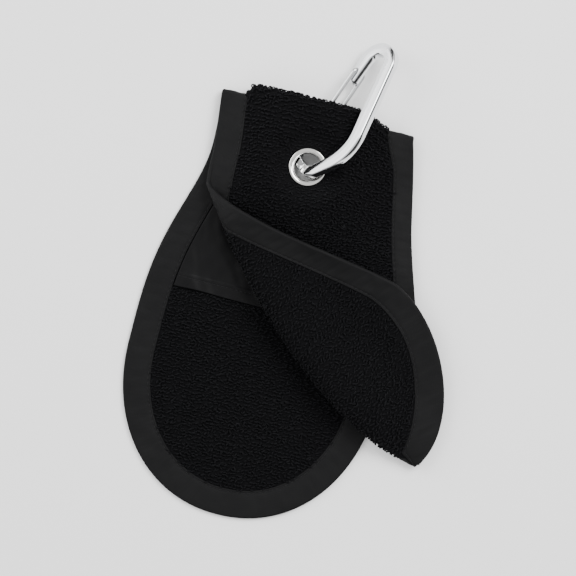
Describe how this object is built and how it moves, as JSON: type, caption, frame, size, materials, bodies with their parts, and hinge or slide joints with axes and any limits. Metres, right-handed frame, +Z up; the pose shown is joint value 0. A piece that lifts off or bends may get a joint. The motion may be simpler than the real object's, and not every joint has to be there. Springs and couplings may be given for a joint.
{
  "type": "golf towel",
  "caption": "Pear-shaped terry towel folded double at the neck, tape-bound, with an eyelet and a wire-gate clip; the upper leaf's lower half lies turned back.",
  "frame": {"origin": "on the surface the towel lies on, below the middle of the lower leaf's round end", "axes": "+X across the towel, +Y along it towards the fold and the clip, +Z up from the surface"},
  "size_m": [0.1748, 0.2682, 0.0294],
  "materials": {
    "terry": "looped cotton terry, dyed black, matt",
    "binding_tape": "woven cotton-polyester tape, black, slightly smooth",
    "sewing_thread": "spun polyester thread, black",
    "lining": "smooth satin-woven polyester, black, soft sheen",
    "eyelet_plate": "nickel-plated brass, bright",
    "clip_metal": "die-cast zinc, bright chrome plate",
    "gate_wire": "drawn stainless spring wire"
  },
  "bodies": {
    "towel": {"terry_panel": "terry", "edge_binding": "binding_tape", "binding_seam_inner": "sewing_thread", "binding_seam_outer": "sewing_thread", "lining_panel": "lining", "eyelet_barrel": "eyelet_plate", "eyelet_washer": "eyelet_plate"},
    "clip": {"clip_body": "clip_metal"},
    "gate": {"clip_gate": "gate_wire"}
  },
  "joints": [
    {"name": "clip_swing", "type": "hinge", "parent": "towel", "child": "clip", "pos_m": [0.0015, 0.1267, 0.0126], "axis": [0, 0, 1], "range_deg": [-15, 15], "deforming": ["terry_panel", "lining_panel"]},
    {"name": "gate_hinge", "type": "hinge", "parent": "clip", "child": "gate", "pos_m": [0.01616, 0.18351, 0.00694], "axis": [-0.6645, 0.2418, 0.7071], "range_deg": [0, 10], "stiffness_Nm_per_rad": 0.05, "springref_deg": -28.65, "deforming": ["terry_panel", "lining_panel"]}
  ]
}
